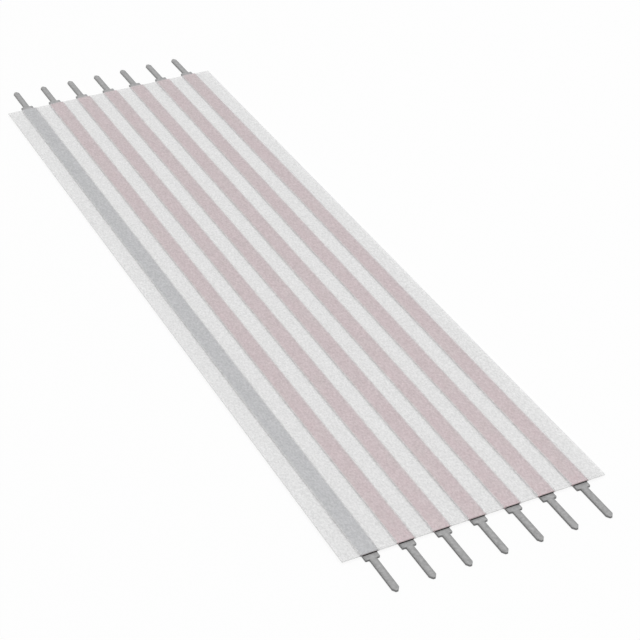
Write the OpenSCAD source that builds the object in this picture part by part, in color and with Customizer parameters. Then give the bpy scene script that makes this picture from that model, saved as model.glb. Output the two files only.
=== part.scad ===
// Flat flex cable with seven flat conductors laminated between two clear films,
// and a row of stamped solder pins at each end.
// X runs across the cable, Y along it and Z up. The cable lies on its pins at Z = 0.

/* [Conductors] */
// Number of conductors
ways = 7; // [2:1:10]
// Distance from one conductor's centre line to the next
pitch = 2.54; // [2.4:0.02:5.08]
// Width of one flat conductor
conductor_w = 1.25; // [1.2:0.01:1.8]
// Thickness of one flat conductor
conductor_t = 0.1; // [0.06:0.01:0.14]
// Corner cut off each end of a conductor
corner_cut = 0.1; // [0.02:0.02:0.2]
// How far a conductor stands out of the film at each end
bare_end = 0.04; // [0:0.01:0.1]

/* [Film] */
// Length of the laminated film
film_l = 65.24; // [20:0.02:120]
// Film beyond the outer conductors' centre lines
edge_margin = 1.9; // [1.2:0.02:3]
// Film that covers a conductor on each face
skin_t = 0.025; // [0.02:0.005:0.1]
// How far each film sinks between two conductors
gap_dip = 0.025; // [0:0.005:0.04]
// Width of the slope where a film rises over a conductor
slope_w = 0.05; // [0.02:0.01:0.2]
// How far the film sits off the middle of the pins, towards the front
film_shift = 0.12; // [0:0.02:0.3]
// Glue line between a piece and the film around it
glue_t = 0.005; // [0.002:0.001:0.01]

/* [Pins] */
// Thickness of the sheet that the pins are stamped from
pin_t = 0.18; // [0.1:0.02:0.4]
// Width of the tab under the conductor, and of the shoulder outside
tab_w = 1.02; // [0.8:0.02:1.1]
// Length of the tab under the conductor
tab_l = 2; // [1:0.1:4]
// Length of the shoulder outside the film
shoulder_l = 0.56; // [0.4:0.02:1.2]
// Width of the pin beyond its shoulder
shank_w = 0.5; // [0.4:0.01:0.6]
// Reach of the pin beyond the film
pin_reach = 3.71; // [2:0.01:6]
// Length of the tapered point
point_l = 0.24; // [0.2:0.02:0.6]
// Width of the blunt end of the point
point_w = 0.16; // [0.05:0.01:0.3]
// Radius on the shoulder's corners and in the roots beside the shank
corner_r = 0.07; // [0.02:0.01:0.1]

/* [Hidden] */
film_w = (ways - 1) * pitch + 2 * edge_margin;
film_t = conductor_t + 2 * skin_t;
conductor_l = film_l + 2 * bare_end;
conductor_z = pin_t;
film_z = conductor_z - skin_t;
seam_z = film_z + film_t / 2;
past = 0.5;
corner_steps = 6;
FRONT = -1;
REAR = 1;

function way_x(way) = (way - (ways + 1) / 2) * pitch;

function arc(centre, from, to) = [
    for (step = [0:corner_steps])
        let (angle = from + (to - from) * step / corner_steps)
            centre + corner_r * [cos(angle), sin(angle)]
];

function mirrored(points) = [
    for (i = [len(points) - 1:-1:0]) [-points[i].x, points[i].y]
];

// One side of a pin, from the inner end of its tab to its point. Y = 0 is the film's end.
pin_side = concat(
    [[tab_w / 2, -tab_l]],
    arc([tab_w / 2 - corner_r, shoulder_l - corner_r], 0, 90),
    arc([shank_w / 2 + corner_r, shoulder_l + corner_r], 270, 180),
    [[shank_w / 2, pin_reach - point_l], [point_w / 2, pin_reach]]
);

// One side of a conductor, with its corners cut off. Y = 0 is the film's middle.
conductor_side = [
    [conductor_w / 2 - corner_cut, -conductor_l / 2],
    [conductor_w / 2, -conductor_l / 2 + corner_cut],
    [conductor_w / 2, conductor_l / 2 - corner_cut],
    [conductor_w / 2 - corner_cut, conductor_l / 2]
];

// A flat piece, the same on both sides of its centre line
module stamping(side, thickness) {
    linear_extrude(thickness)
        polygon(concat(side, mirrored(side)));
}

// Places a shape that is drawn outwards from Y = 0 at one end of the cable
module at_end(end) {
    rotate([0, 0, end == REAR ? 0 : 180])
        translate([0, film_l / 2, 0])
            children();
}

module pin(way, end) {
    color("silver")
        translate([way_x(way), 0, 0])
            at_end(end)
                stamping(pin_side, pin_t);
}

module conductor(way) {
    color(way == 1 ? "lightgray" : "rosybrown")
        translate([way_x(way), -film_shift, conductor_z])
            stamping(conductor_side, conductor_t);
}

// Outer line of a film's section where it rises over one conductor. Y = 0 is the seam.
function land(way) =
    let (half = conductor_w / 2 + glue_t) [
        [way_x(way) - half - slope_w, film_t / 2 - gap_dip],
        [way_x(way) - half, film_t / 2],
        [way_x(way) + half, film_t / 2],
        [way_x(way) + half + slope_w, film_t / 2 - gap_dip]
    ];

// Section of one film, across the cable
film_section = concat(
    [[-film_w / 2, 0], [-film_w / 2, film_t / 2 - gap_dip]],
    [for (way = [1:ways]) each land(way)],
    [[film_w / 2, film_t / 2 - gap_dip], [film_w / 2, 0]]
);

// A film from the seam outwards: up for the cover film, down for the base film
module film_sheet(up) {
    translate([0, film_l / 2 - film_shift, seam_z])
        mirror([0, 0, up ? 0 : 1])
            rotate([90, 0, 0])
                linear_extrude(film_l)
                    polygon(film_section);
}

// Straight channel that takes a conductor, with the glue line around it
module channel(way) {
    width = conductor_w + 2 * glue_t;
    translate([way_x(way) - width / 2, -film_l / 2 - film_shift - past, conductor_z - glue_t])
        cube([width, film_l + 2 * past, conductor_t + 2 * glue_t]);
}

// Window in the base film through which a pin's tab meets its conductor
module tab_window(way, end) {
    width = tab_w + 2 * glue_t;
    translate([way_x(way), 0, film_z - past])
        at_end(end)
            translate([-width / 2, -tab_l - glue_t, 0])
                cube([width, tab_l + past, past + skin_t]);
}

module cover_film() {
    color("whitesmoke", 0.6)
        difference() {
            film_sheet(true);
            for (way = [1:ways]) channel(way);
        }
}

module base_film() {
    color("gainsboro", 0.6)
        difference() {
            film_sheet(false);
            for (way = [1:ways]) {
                channel(way);
                for (end = [FRONT, REAR]) tab_window(way, end);
            }
        }
}

cover_film();
base_film();
for (way = [1:ways]) {
    conductor(way);
    pin(way, FRONT);
    pin(way, REAR);
}
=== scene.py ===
# %% [markdown]
# # A flat flex cable
#
# The object is a short jumper cable: seven flat copper conductors pressed between two milky
# plastic films, with a row of stamped and tinned solder pins at each end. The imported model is
# the fixed frame. It gives every piece its place, so the scene is built around it.

# %% Load the frame
import math

import bmesh
import bpy
from mathutils import Matrix, Vector


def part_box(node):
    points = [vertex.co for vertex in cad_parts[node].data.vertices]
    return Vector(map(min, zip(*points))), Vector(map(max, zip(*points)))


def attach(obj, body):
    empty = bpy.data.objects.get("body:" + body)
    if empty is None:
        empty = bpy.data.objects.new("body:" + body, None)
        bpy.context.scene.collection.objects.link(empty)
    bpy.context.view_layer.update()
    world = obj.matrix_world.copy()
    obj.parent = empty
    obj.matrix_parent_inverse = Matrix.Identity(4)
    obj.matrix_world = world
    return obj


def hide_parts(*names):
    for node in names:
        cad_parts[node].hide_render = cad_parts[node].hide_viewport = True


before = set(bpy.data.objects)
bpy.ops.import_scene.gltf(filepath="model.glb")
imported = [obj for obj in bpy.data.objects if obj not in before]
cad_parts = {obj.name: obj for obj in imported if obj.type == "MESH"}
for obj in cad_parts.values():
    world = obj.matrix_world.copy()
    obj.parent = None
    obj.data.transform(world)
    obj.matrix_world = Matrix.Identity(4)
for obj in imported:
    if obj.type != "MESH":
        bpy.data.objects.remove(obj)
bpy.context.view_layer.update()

MM = 0.001

# %% [markdown]
# ## Sizes that come from the frame
#
# Nothing is measured twice. The film's faces, the first conductor and one pin of each row are
# asked for by name, and the pitch is the step from one conductor to the next.

# %% Read the film, the ways and the pins from the frame
WAYS = sum(1 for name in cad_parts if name.startswith("conductor_"))
film_low, film_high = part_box("base_film")[0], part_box("cover_film")[1]
strip_low, strip_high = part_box("conductor_1")
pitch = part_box("conductor_2")[0].x - strip_low.x
front_low, front_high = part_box("front_pin_1")
rear_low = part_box("rear_pin_1")[0]
first_x = (front_low.x + front_high.x) / 2
half_strip = (strip_high.x - strip_low.x) / 2
print("ways:", WAYS, "pitch:", round(pitch / MM, 3), "film:", film_low, film_high)

# %% [markdown]
# ## Node trees as plain expressions
#
# A mask such as "the outer face, but not the cut edge" is arithmetic. Each step could be its own
# Math node, placed and linked by hand. One small class wraps a socket instead, so that
# `1 - mask` or `grain * 0.2` adds the Math node by itself and the recipe stays readable. The same
# class serves materials and Geometry Nodes, because both are node trees.


# %% A socket that can be used in an expression
class Wire:
    def __init__(self, plan, socket):
        self.plan = plan
        self.socket = socket

    def math(self, operation, *values):
        node = self.plan.node("ShaderNodeMath", {"operation": operation}, dict(enumerate(values)))
        return Wire(self.plan, node.outputs[0])

    def __add__(self, other):
        return self.math("ADD", self, other)

    def __radd__(self, other):
        return self.math("ADD", other, self)

    def __sub__(self, other):
        return self.math("SUBTRACT", self, other)

    def __rsub__(self, other):
        return self.math("SUBTRACT", other, self)

    def __mul__(self, other):
        return self.math("MULTIPLY", self, other)

    def __truediv__(self, other):
        return self.math("DIVIDE", self, other)

    def __gt__(self, other):
        return self.math("GREATER_THAN", self, other)

    def __lt__(self, other):
        return self.math("LESS_THAN", self, other)

    def __or__(self, other):
        return self.math("MAXIMUM", self, other)

    def __abs__(self):
        return self.math("ABSOLUTE", self)


# %% A node tree that is being drawn up
class Plan:
    def __init__(self, tree):
        self.tree = tree
        self.tree.nodes.clear()

    def node(self, kind, settings=None, inputs=None):
        made = self.tree.nodes.new(kind)
        for key, value in (settings or {}).items():
            setattr(made, key, value)
        for key, value in (inputs or {}).items():
            if isinstance(value, Wire):
                self.tree.links.new(value.socket, made.inputs[key])
            else:
                made.inputs[key].default_value = value
        return made

    def wire(self, kind, settings=None, inputs=None, output=0):
        return Wire(self, self.node(kind, settings, inputs).outputs[output])


print("ready:", Wire.__name__, "and", Plan.__name__)


# %% [markdown]
# ## Geometry Nodes recipes
#
# A recipe is a tree with named inputs for its sizes. It is run once for each piece: the values
# go into a modifier, the evaluated result becomes a plain mesh, and the modifier goes away. What
# is left is an ordinary piece that rides on the cable's one body.


# %% A Geometry Nodes recipe with named inputs
class Recipe(Plan):
    SOCKETS = {
        float: "NodeSocketFloat",
        int: "NodeSocketInt",
        Vector: "NodeSocketVector",
        bpy.types.Material: "NodeSocketMaterial",
    }

    def __init__(self, name, inputs):
        super().__init__(bpy.data.node_groups.new(name, "GeometryNodeTree"))
        sides = self.tree.interface
        sides.new_socket("Geometry", in_out="INPUT", socket_type="NodeSocketGeometry")
        for label, kind in inputs.items():
            sides.new_socket(label, in_out="INPUT", socket_type=self.SOCKETS[kind])
        sides.new_socket("Geometry", in_out="OUTPUT", socket_type="NodeSocketGeometry")
        self.given = self.node("NodeGroupInput")

    def value(self, label):
        return Wire(self, self.given.outputs[label])

    def vector(self, x=0.0, y=0.0, z=0.0):
        return self.wire("ShaderNodeCombineXYZ", inputs={"X": x, "Y": y, "Z": z})

    def position(self):
        spot = self.wire("GeometryNodeInputPosition")
        axes = self.node("ShaderNodeSeparateXYZ", inputs={"Vector": spot})
        return [Wire(self, axes.outputs[axis]) for axis in "XYZ"]

    def moved(self, shape, place):
        inputs = {"Geometry": shape, "Translation": place}
        return self.wire("GeometryNodeTransform", inputs=inputs)

    def end(self, shape):
        real = self.wire("GeometryNodeRealizeInstances", inputs={"Geometry": shape})
        paint = {"Geometry": real, "Material": self.value("Material")}
        painted = self.wire("GeometryNodeSetMaterial", inputs=paint)
        self.node("NodeGroupOutput", inputs={"Geometry": painted})

    def make(self, name, values, mesh=None):
        draft = bpy.data.objects.new(name, mesh or bpy.data.meshes.new(name))
        bpy.context.scene.collection.objects.link(draft)
        modifier = draft.modifiers.new("recipe", "NODES")
        modifier.node_group = self.tree
        for side in self.tree.interface.items_tree:
            if side.in_out == "INPUT" and side.name in values:
                modifier[side.identifier] = values[side.name]
        seen = draft.evaluated_get(bpy.context.evaluated_depsgraph_get())
        plain = bpy.data.meshes.new_from_object(seen)
        draft.modifiers.remove(modifier)
        draft.data = plain
        plain.name = name
        return draft


def settle(piece, nodes):
    """Ends a piece: it rides on the cable, and stands for the solids that it refines."""
    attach(piece, "root")
    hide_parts(*nodes)
    print(piece.name, "faces:", len(piece.data.polygons), "stands for:", ", ".join(nodes))


# %% [markdown]
# ## A material's own helpers
#
# A finish starts from the place on the piece, so a pattern stays put when the piece is seen from
# another side. `noise` gives a grain of a real size in metres, and `blend` mixes two colours.


# %% A material that is being made
class Finish(Plan):
    def __init__(self, name):
        self.material = bpy.data.materials.new(name)
        self.material.use_nodes = True
        super().__init__(self.material.node_tree)

    def place(self):
        place = self.wire("ShaderNodeTexCoord", output="Object")
        axes = self.node("ShaderNodeSeparateXYZ", inputs={"Vector": place})
        return [Wire(self, axes.outputs[axis]) for axis in "XYZ"]

    def noise(self, size, stretch=(1, 1, 1), detail=2.0, rough=0.5):
        place = self.wire("ShaderNodeTexCoord", output="Object")
        scale = [1 / (size * part) for part in stretch]
        spot = self.wire("ShaderNodeMapping", inputs={"Vector": place, "Scale": scale})
        return self.wire(
            "ShaderNodeTexNoise",
            inputs={"Vector": spot, "Scale": 1.0, "Detail": detail, "Roughness": rough},
        )

    def blend(self, mask, colour_a, colour_b):
        mix = self.node("ShaderNodeMix", {"data_type": "RGBA"}, {0: mask, 6: colour_a, 7: colour_b})
        return Wire(self, mix.outputs[2])

    def bump(self, height, distance, strength=1.0):
        inputs = {"Height": height, "Distance": distance, "Strength": strength}
        return self.wire("ShaderNodeBump", inputs=inputs)

    def surface(self, shader):
        output = self.tree.nodes.new("ShaderNodeOutputMaterial")
        self.tree.links.new(shader.outputs[0], output.inputs["Surface"])
        return self.material


def rgb(red, green, blue):
    return (red, green, blue, 1.0)


# %% [markdown]
# ## The frosted film
#
# Real film is a clear sheet whose outer faces are finely frosted. A volume shader could scatter
# the light inside it, but that is slow, and a model file doesn't keep it. So light is held back
# at the outer faces only: the alpha is high there, low on the cut edges, and nothing on the faces
# inside that wrap the conductors. A fine grain breaks the frost up.
#
# The film sinks a little between two conductors, so height alone doesn't tell outside from
# inside: how far a point lies from the nearest conductor's centre line settles it. Light that
# scatters in real film softens the conductors' edges, so the frost is denser along an edge. Just
# beside each edge the frost's colour is darkened, a painted shade along the conductor.


# %% Where a point lies in the cable
HAIR = 0.002 * MM
CLEARANCE = 0.006 * MM
seam_z = (film_low.z + film_high.z) / 2


def from_centre_line(x):
    """How far a point lies from the nearest conductor's centre line."""
    lane = (x - first_x) / pitch
    nearest = lane.math("ROUND", lane) | 0.0
    nearest = nearest.math("MINIMUM", nearest, WAYS - 1.0)
    return abs(lane - nearest) * pitch


print("seam at Z", round(seam_z / MM, 4), "mm, half a conductor is", round(half_strip / MM, 4))

# %% Film finish
FROST = rgb(0.84, 0.84, 0.84)
# Painted light: the film's cut edges are a lighter white than the frost, lifting faces the lamp
# barely reaches.
CUT_EDGE_PAINTED_LIGHT = rgb(0.95, 0.95, 0.95)
FROST_ALPHA, EDGE_ALPHA = 0.5, 0.28
GRAIN, CLOUD = 0.12 * MM, 4 * MM
UPPER_DEPTH, LOWER_DEPTH, CLOUD_DEPTH = 0.82, 0.40, 0.02
MEAN_LEVEL = 0.99
SCATTER = 0.10 * MM
# Painted shade: how much the frost is darkened just beside each conductor.
BESIDE_PAINTED_SHADE = 0.22
GRAIN_DENSER, EDGE_DENSER, BESIDE_DENSER = 0.1, 0.1, 0.3


def film_finish(name, upper):
    film = Finish(name)
    x, y, z = film.place()
    away = z - seam_z if upper else seam_z - z
    over = away > strip_high.z + CLEARANCE - seam_z
    beside = from_centre_line(x) > half_strip + CLEARANCE
    ends = (y < film_low.y + HAIR) | (y > film_high.y - HAIR)
    sides = abs(x) > film_high.x - HAIR
    edge = ends | sides
    broad = (over | beside * (away > CLEARANCE)) * (1 - edge)
    grain = film.noise(GRAIN, stretch=(1, 1.6, 1), detail=2.0, rough=0.7)
    cloud = film.noise(CLOUD, detail=2.0)
    depth = UPPER_DEPTH if upper else LOWER_DEPTH
    gap = (from_centre_line(x) - half_strip) / SCATTER
    near = (1 - abs(gap)) | 0.0
    level = MEAN_LEVEL - depth / 2 + grain * depth + cloud * CLOUD_DEPTH
    # Painted shade: the frost is darkened just beside each conductor.
    level = level * (1 - near * (gap > 0) * BESIDE_PAINTED_SHADE)
    density = FROST_ALPHA - GRAIN_DENSER / 2 + grain * GRAIN_DENSER
    density = density + near * (EDGE_DENSER + (gap > 0) * BESIDE_DENSER)
    tone = film.wire("ShaderNodeCombineColor", inputs={0: level, 1: level, 2: level})
    frost = film.node(
        "ShaderNodeMix",
        {"data_type": "RGBA", "blend_type": "MULTIPLY"},
        {0: 1.0, 6: FROST, 7: tone},
    )
    shader = film.node(
        "ShaderNodeBsdfPrincipled",
        inputs={
            # Painted light on the cut edges.
            "Base Color": film.blend(edge, Wire(film, frost.outputs[2]), CUT_EDGE_PAINTED_LIGHT),
            "Alpha": broad * density + edge * EDGE_ALPHA,
            "Roughness": 0.55,
            "Specular IOR Level": 0.3,
            "Normal": film.bump(grain, 0.004 * MM),
        },
    )
    return film.surface(shader)


# %% Dress the two films
def dress(node_name, material):
    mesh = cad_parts[node_name].data
    mesh.materials.clear()
    mesh.materials.append(material)
    print(node_name, "wears", material.name)


dress("cover_film", film_finish("cover_film_frost", True))
dress("base_film", film_finish("base_film_frost", False))

# %% [markdown]
# ## Rolled copper and tin
#
# The conductors are rolled flat, which leaves faint streaks along them. The first one is tinned
# to mark way 1. Slow patches of tarnish shift the colour a little. In patches the round edges are
# painted lighter, a painted light that lifts the shade on the conductors' sides. The bit of metal
# that stands out of the film is dull, and its cut end is painted near black, a painted shadow
# where the conductor ends over the pin. A picture could give all this, but noise that is stretched
# along the strip has no seams and no limit to its detail.


# %% Conductor finish
ROLLED_EDGE = 0.04 * MM
STREAK, PATCH, TARNISH = 0.25 * MM, 3 * MM, 1.2 * MM
# Painted light: in patches, the round edges are lifted towards this lighter colour.
EDGE_PAINTED_LIGHT = rgb(0.66, 0.58, 0.58)
BARE_METAL = rgb(0.36, 0.33, 0.33)
# Painted shadow: the conductors' cut ends are near black.
CUT_END_PAINTED_SHADOW = rgb(0.045, 0.040, 0.040)


def conductor_finish(name, colour, streak_colour, tarnish_colour):
    metal = Finish(name)
    x, y, _ = metal.place()
    streaks = metal.noise(STREAK, stretch=(1, 60, 1), detail=3.0)
    cut = (y < strip_low.y + HAIR) | (y > strip_high.y - HAIR)
    bare = (y < film_low.y) | (y > film_high.y)
    flank = from_centre_line(x) > half_strip - ROLLED_EDGE
    patches = metal.noise(PATCH, stretch=(0.5, 4, 1), detail=1.0)
    tarnish = metal.noise(TARNISH, stretch=(1, 2, 1), detail=1.0)
    skin = metal.blend(streaks, colour, streak_colour)
    skin = metal.blend((tarnish - 0.5) * 1.5, skin, tarnish_colour)
    # Painted light on the round edges, in patches.
    skin = metal.blend(flank * (patches * 1.4 - 0.1), skin, EDGE_PAINTED_LIGHT)
    skin = metal.blend(bare, skin, BARE_METAL)
    shader = metal.node(
        "ShaderNodeBsdfPrincipled",
        inputs={
            # Painted shadow on the cut ends.
            "Base Color": metal.blend(cut, skin, CUT_END_PAINTED_SHADOW),
            "Metallic": (1 - cut) * 0.5,
            "Roughness": 0.5 + streaks * 0.1,
            "Specular IOR Level": 0.2,
        },
    )
    return metal.surface(shader)


tinned = conductor_finish(
    "tinned_copper", rgb(0.33, 0.34, 0.37), rgb(0.37, 0.38, 0.41), rgb(0.34, 0.36, 0.37)
)
copper = conductor_finish(
    "rolled_copper", rgb(0.515, 0.31, 0.34), rgb(0.565, 0.35, 0.385), rgb(0.505, 0.37, 0.355)
)
print("conductor finishes:", tinned.name, "and", copper.name)

# %% [markdown]
# ## The shape of a conductor
#
# Rolling wire flat leaves its two long edges round. A box with a bevel could show it, but the
# trimmed corners at the ends would need a second tool. A sweep does both: a rectangle with
# filleted corners follows a straight line. Four points on the line give a ring at each end and
# one a little further in, and the end rings are narrowed, which trims the corners.


# %% Recipe for a rolled strip
def rolled_strip():
    strip = Recipe(
        "rolled_strip",
        {
            "Place": Vector,
            "Length": float,
            "Width": float,
            "Thickness": float,
            "Edge Radius": float,
            "Corner Cut": float,
            "Material": bpy.types.Material,
        },
    )
    length, width, cut = (strip.value(label) for label in ("Length", "Width", "Corner Cut"))
    line = strip.wire("GeometryNodeCurvePrimitiveLine", inputs={"End": (0.0, 1.0, 0.0)})
    line = strip.wire("GeometryNodeSubdivideCurve", inputs={"Curve": line, "Cuts": 2})
    index = strip.wire("GeometryNodeInputIndex")
    inner = (index > 0.5) * (index < 2.5)
    side = (index > 1.5) * 2 - 1
    spot = strip.vector(y=side * (length * 0.5 - inner * cut))
    line = strip.wire("GeometryNodeSetPosition", inputs={"Geometry": line, "Position": spot})
    section = strip.wire(
        "GeometryNodeCurvePrimitiveQuadrilateral",
        inputs={"Width": width, "Height": strip.value("Thickness")},
    )
    section = strip.wire(
        "GeometryNodeFilletCurve",
        {"mode": "POLY"},
        {"Curve": section, "Radius": strip.value("Edge Radius"), "Count": 4},
    )
    swept = strip.wire(
        "GeometryNodeCurveToMesh",
        inputs={"Curve": line, "Profile Curve": section, "Fill Caps": True},
    )
    x, y, z = strip.position()
    at_end = abs(y) > length * 0.5 - cut * 0.5
    narrow = strip.vector(x * (1 - at_end * 2 * cut / width), y, z)
    swept = strip.wire("GeometryNodeSetPosition", inputs={"Geometry": swept, "Position": narrow})
    strip.end(strip.moved(swept, strip.value("Place")))
    return strip


strip_recipe = rolled_strip()
print("rolled_strip has", len(strip_recipe.tree.nodes), "nodes")

# %% Lay the seven conductors
CORNER_CUT = 0.10 * MM

for way in range(1, WAYS + 1):
    low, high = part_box(f"conductor_{way}")
    values = {
        "Place": (low + high) / 2,
        "Length": high.y - low.y,
        "Width": high.x - low.x,
        "Thickness": high.z - low.z,
        "Edge Radius": ROLLED_EDGE,
        "Corner Cut": CORNER_CUT,
        "Material": tinned if way == 1 else copper,
    }
    strip = strip_recipe.make(f"rolled_conductor_{way}", values)
    settle(strip, [f"conductor_{way}"])

# %% [markdown]
# ## Stamped and tinned pins
#
# A pin is stamped from sheet: a tab that is joined under the conductor, a shoulder, a thin shank
# and a blunt point. The outline is drawn once, for one side, in the plane of the sheet. The
# stamping and the tin leave every edge round, and at this size the round edges carry much of the
# look, because they catch less light than the flat top.


# %% Pin sizes
TAB_L = 2.0 * MM
SHOULDER_L = 0.56 * MM
SHANK_W = 0.50 * MM
POINT_L = 0.24 * MM
POINT_W = 0.16 * MM
CORNER_R = 0.07 * MM
PIN_EDGE = 0.03 * MM
ARC_STEPS = 6
EDGE_STEPS = 4
SMOOTH_DEGREES = 30

pin_size = front_high - front_low
print("one pin is", [round(side / MM, 3) for side in pin_size], "mm")


# %% Outline of a pin
def arc(centre, start, stop):
    """Points on a corner's arc, from one angle to another in degrees."""
    turns = [start + (stop - start) * step / ARC_STEPS for step in range(ARC_STEPS + 1)]
    angles = [math.radians(turn) for turn in turns]
    return [centre + CORNER_R * Vector((math.cos(a), math.sin(a))) for a in angles]


def pin_outline(size):
    """The whole outline, anticlockwise, from the tab's inner end at Y = 0 to the point."""
    shoulder = TAB_L + SHOULDER_L
    side = [Vector((size.x / 2, 0))]
    side += arc(Vector((size.x / 2 - CORNER_R, shoulder - CORNER_R)), 0, 90)
    side += arc(Vector((SHANK_W / 2 + CORNER_R, shoulder + CORNER_R)), 270, 180)
    side += [Vector((SHANK_W / 2, size.y - POINT_L)), Vector((POINT_W / 2, size.y))]
    return side + [Vector((-spot.x, spot.y)) for spot in reversed(side)]


print("the outline has", len(pin_outline(pin_size)), "points")

# %% [markdown]
# ## Rounding the edges of a flat stamping
#
# A Bevel modifier slips where corners are this close together. A loft is sure: the outline is
# drawn in by a little more at each level, as a quarter circle asks, and the rings are joined
# with quads. The top and the bottom are closed with one flat face each. Only faces that meet at
# a small angle are shaded as one smooth surface, so the outline's corners stay crisp.


# %% Loft a stamping with round edges
def drawn_in(outline, inset):
    """The outline moved inwards by inset, with every side kept parallel."""
    moved = []
    for here, spot in enumerate(outline):
        before = (spot - outline[here - 1]).normalized()
        after = (outline[(here + 1) % len(outline)] - spot).normalized()
        normal_a, normal_b = Vector((-before.y, before.x)), Vector((-after.y, after.x))
        moved.append(spot + (normal_a + normal_b) * inset / (1 + normal_a.dot(normal_b)))
    return moved


def stamping(name, outline, thickness, edge):
    """A flat piece of sheet from Z = 0 to its thickness, with all its edges rounded."""
    quarter = [math.pi / 2 * step / EDGE_STEPS for step in range(EDGE_STEPS + 1)]
    lower = [(edge * (1 - math.sin(a)), edge * (1 - math.cos(a))) for a in quarter]
    levels = lower + [(inset, thickness - height) for inset, height in reversed(lower)]
    piece = bmesh.new()
    rings = [
        [piece.verts.new((spot.x, spot.y, height)) for spot in drawn_in(outline, inset)]
        for inset, height in levels
    ]
    count = len(outline)
    for below, above in zip(rings, rings[1:]):
        for here in range(count):
            there = (here + 1) % count
            quad = piece.faces.new((below[here], below[there], above[there], above[here]))
            quad.smooth = True
    piece.faces.new(reversed(rings[0]))
    piece.faces.new(rings[-1])
    for edge_line in piece.edges:
        edge_line.smooth = edge_line.calc_face_angle(0.0) < math.radians(SMOOTH_DEGREES)
    mesh = bpy.data.meshes.new(name)
    piece.to_mesh(mesh)
    piece.free()
    return mesh


one_pin = stamping("one_pin", pin_outline(pin_size), pin_size.z, PIN_EDGE)
print("one pin has", len(one_pin.polygons), "faces")


# %% [markdown]
# ## Tin on the faces, painted shade at the sides and rims
#
# The sheet is tinned before it is stamped, so the faces are mottled tin. The sheared sides are
# bare between the two thin lips of tin, and they are painted a darker grey than the faces, a
# painted shade for sides that the lamp above lights less. Each face is also painted darker along
# its rim, a painted shade along the outline.


# %% Pin finish
TIN_LIP = 0.012 * MM
# Painted shade: how wide and how deep the darkening along each pin's rim is.
RIM_SHADE_WIDTH = 0.18 * MM
RIM_SHADE_DEPTH = 0.55
MOTTLE, FINE = 0.22 * MM, 0.05 * MM
# The dark tin is the dark end of the mottle and also the colour of the painted rim shade.
DARK_TIN_AND_RIM_SHADE, LIGHT_TIN = rgb(0.22, 0.22, 0.22), rgb(0.53, 0.53, 0.53)
# Painted shade: the sheared sides are a darker grey than the tin faces.
SIDE_PAINTED_SHADE = rgb(0.29, 0.29, 0.29)


def pin_finish(name):
    tin = Finish(name)
    x, y, z = tin.place()
    mottle = tin.noise(MOTTLE, detail=3.0)
    fine = tin.noise(FINE, stretch=(1, 4, 1), detail=2.0)
    plated = tin.blend(mottle, DARK_TIN_AND_RIM_SHADE, LIGHT_TIN)
    on_shank = abs(y) > rear_low.y + TAB_L + SHOULDER_L
    half_width = pin_size.x / 2 + on_shank * ((SHANK_W - pin_size.x) / 2)
    # Painted shade: each face is darkened along its rim.
    rim_shade = ((from_centre_line(x) - half_width) / RIM_SHADE_WIDTH + 1) | 0.0
    plated = tin.blend(rim_shade * RIM_SHADE_DEPTH, plated, DARK_TIN_AND_RIM_SHADE)
    sheared = (z > front_low.z + TIN_LIP) * (z < front_high.z - TIN_LIP)
    shader = tin.node(
        "ShaderNodeBsdfPrincipled",
        inputs={
            # Painted shade on the sheared sides.
            "Base Color": tin.blend(sheared, plated, SIDE_PAINTED_SHADE),
            "Metallic": 0.15,
            "Roughness": 0.42 + fine * 0.12,
            "Specular IOR Level": 0.2,
            "Normal": tin.bump(fine, 0.002 * MM),
        },
    )
    return tin.surface(shader)


tin_plate = pin_finish("tin_plate")
print("pin finish:", tin_plate.name)

# %% [markdown]
# ## A row of pins
#
# The same stamping is set out on the cable's pitch. A loop could make fourteen copies, but the
# row is one idea, so it is one recipe. A Mesh Line gives one point for each way, and Instance on
# Points puts a pin on it, turned by half a turn for the front row. Realize Instances makes the
# copies real, because a dressed piece has to be one plain mesh.


# %% Recipe for a row of pins
def pin_row():
    row = Recipe(
        "pin_row",
        {
            "Place": Vector,
            "Pitch": float,
            "Ways": int,
            "Turn": float,
            "Material": bpy.types.Material,
        },
    )
    points = row.wire(
        "GeometryNodeMeshLine",
        inputs={
            "Count": row.value("Ways"),
            "Start Location": row.value("Place"),
            "Offset": row.vector(x=row.value("Pitch")),
        },
    )
    turned = row.wire("FunctionNodeEulerToRotation", inputs={0: row.vector(z=row.value("Turn"))})
    pins = row.wire(
        "GeometryNodeInstanceOnPoints",
        inputs={"Points": points, "Instance": row.value("Geometry"), "Rotation": turned},
    )
    row.end(pins)
    return row


row_recipe = pin_row()
print("pin_row has", len(row_recipe.tree.nodes), "nodes")

# %% Set out both rows
for end, start_y, turn in (("front", front_high.y, math.pi), ("rear", rear_low.y, 0.0)):
    values = {
        "Place": Vector((first_x, start_y, front_low.z)),
        "Pitch": pitch,
        "Ways": WAYS,
        "Turn": turn,
        "Material": tin_plate,
    }
    pins = row_recipe.make(f"{end}_pin_row", values, one_pin)
    settle(pins, [f"{end}_pin_{way}" for way in range(1, WAYS + 1)])

# %% [markdown]
# ## The sheet that the cable lies on
#
# The cable lies on a plain white sheet. More light would make the sheet white, but it would wash
# the cable out. So the sheet looks white to the camera and in reflections by itself, and sends
# less light back up, which keeps the pins' sides darker than their tops. The cable's shadow
# stays, and it is faint because the cable is thinner than a fingernail.


# %% White floor
FLOOR_SIZE = 4.0
SHEET_LIT, SHEET_SEEN = rgb(0.55, 0.55, 0.55), rgb(0.94, 0.94, 0.94)
GLOW_SHARE = 0.9
WHITE = rgb(1, 1, 1)


def seen_directly(plan):
    """1 where the camera sees a surface straight on, in a reflection or through a clear one."""
    path = plan.node("ShaderNodeLightPath")
    camera, glossy, through = (
        Wire(plan, path.outputs[f"Is {kind} Ray"]) for kind in ("Camera", "Glossy", "Transmission")
    )
    return camera | glossy | through


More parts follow.
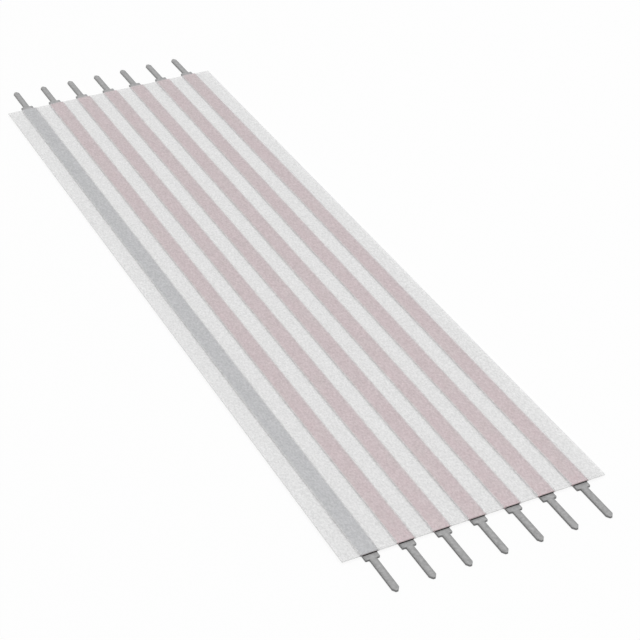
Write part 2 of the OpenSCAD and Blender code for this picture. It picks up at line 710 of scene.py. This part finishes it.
def white_floor():
    floor = Finish("white_sheet")
    seen = seen_directly(floor)
    colour = floor.blend(seen, SHEET_LIT, SHEET_SEEN)
    paper = floor.node("ShaderNodeBsdfDiffuse", inputs={"Color": colour})
    glow = floor.node("ShaderNodeEmission", inputs={"Color": WHITE, "Strength": 1.0})
    mix = floor.node("ShaderNodeMixShader", inputs={0: seen * GLOW_SHARE})
    floor.tree.links.new(paper.outputs[0], mix.inputs[1])
    floor.tree.links.new(glow.outputs[0], mix.inputs[2])
    return floor.surface(mix)


bpy.ops.mesh.primitive_plane_add(size=FLOOR_SIZE, location=(0, 0, 0))
floor = bpy.context.object
floor.name = "floor"
floor.data.materials.append(white_floor())
print("floor:", floor.dimensions)

# %% [markdown]
# ## Soft light
#
# A white room lights the cable from all sides, and one wide lamp above it adds a soft direction.
# Several small lamps could do the same, but each would leave its own highlight on the pins. As
# with the sheet, the room looks white when it is seen, and lights the cable with less.


# %% The room
ROOM_LIGHT = 0.45

world = bpy.data.worlds.new("white_room")
bpy.context.scene.world = world
world.use_nodes = True
room = Plan(world.node_tree)
light = room.node("ShaderNodeBackground", inputs={"Color": WHITE, "Strength": ROOM_LIGHT})
backdrop = room.node("ShaderNodeBackground", inputs={"Color": WHITE, "Strength": 1.0})
choose = room.node("ShaderNodeMixShader", inputs={0: seen_directly(room)})
sky = room.node("ShaderNodeOutputWorld")
room.tree.links.new(light.outputs[0], choose.inputs[1])
room.tree.links.new(backdrop.outputs[0], choose.inputs[2])
room.tree.links.new(choose.outputs[0], sky.inputs["Surface"])
print("room light:", ROOM_LIGHT)

# %% The lamp
LAMP_PLACE = Vector((0.1, -0.03, 0.6))
LAMP_SIZE = 0.5
LAMP_WATTS = 2.15

lamp_data = bpy.data.lights.new("soft_lamp", "AREA")
lamp_data.shape = "DISK"
lamp_data.size = LAMP_SIZE
lamp_data.energy = LAMP_WATTS
lamp = bpy.data.objects.new("soft_lamp", lamp_data)
lamp.location = LAMP_PLACE
lamp.rotation_euler = (-LAMP_PLACE).to_track_quat("-Z", "Y").to_euler()
bpy.context.scene.collection.objects.link(lamp)
print("lamp:", LAMP_WATTS, "W,", LAMP_SIZE, "m across")

# %% [markdown]
# ## Camera
#
# The camera stands in front, a little to the left, and looks down along the ways. It could be
# placed by its coordinates, but a direction and a distance from the point that it looks at are
# easier to read, so a small helper turns those into a place.


# %% Camera
def camera_at(aim, azimuth, elevation, distance, roll, lens):
    """Looks at aim from the front left, with azimuth 0 along +Y."""
    turn, rise = math.radians(azimuth), math.radians(elevation)
    forward = Vector(
        (math.sin(turn) * math.cos(rise), math.cos(turn) * math.cos(rise), -math.sin(rise))
    )
    data = bpy.data.cameras.new("camera")
    data.lens = lens
    data.sensor_width = 36.0
    data.clip_start = 0.001
    eye = bpy.data.objects.new("camera", data)
    spin = Matrix.Rotation(math.radians(roll), 4, "Z")
    aimed = forward.to_track_quat("-Z", "Y").to_matrix().to_4x4() @ spin
    eye.matrix_world = Matrix.Translation(aim - forward * distance) @ aimed
    bpy.context.scene.collection.objects.link(eye)
    return eye


bpy.context.scene.camera = camera_at(
    aim=Vector((0.833, -8.608, 0.23)) * MM,
    azimuth=26.054,
    elevation=34.160,
    distance=130.271 * MM,
    roll=-0.125,
    lens=100.494,
)
bpy.context.scene.view_settings.view_transform = "Standard"
print("camera at", bpy.context.scene.camera.matrix_world.translation)
